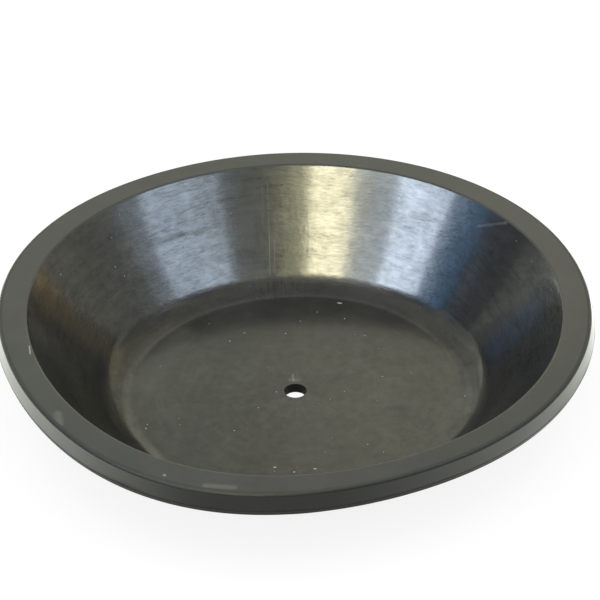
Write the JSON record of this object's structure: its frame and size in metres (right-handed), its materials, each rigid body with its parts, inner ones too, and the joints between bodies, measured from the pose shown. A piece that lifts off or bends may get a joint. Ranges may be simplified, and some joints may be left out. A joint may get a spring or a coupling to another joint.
{
  "type": "diaphragm seal",
  "caption": "Moulded rubber cup diaphragm that seals between clamped housings: flat clamping rim, sloping wall, flat floor and central bolt hole.",
  "frame": {"origin": "middle of the floor's underside, where the part stands", "axes": "+Z along the axis, out of the cup's open side; X and Y are alike"},
  "size_m": [0.207, 0.207, 0.0417],
  "materials": {
    "rubber": "satin moulded black rubber, smooth turned wall, duller rim and floor"
  },
  "bodies": {
    "root": {"diaphragm": "rubber"}
  },
  "joints": []
}
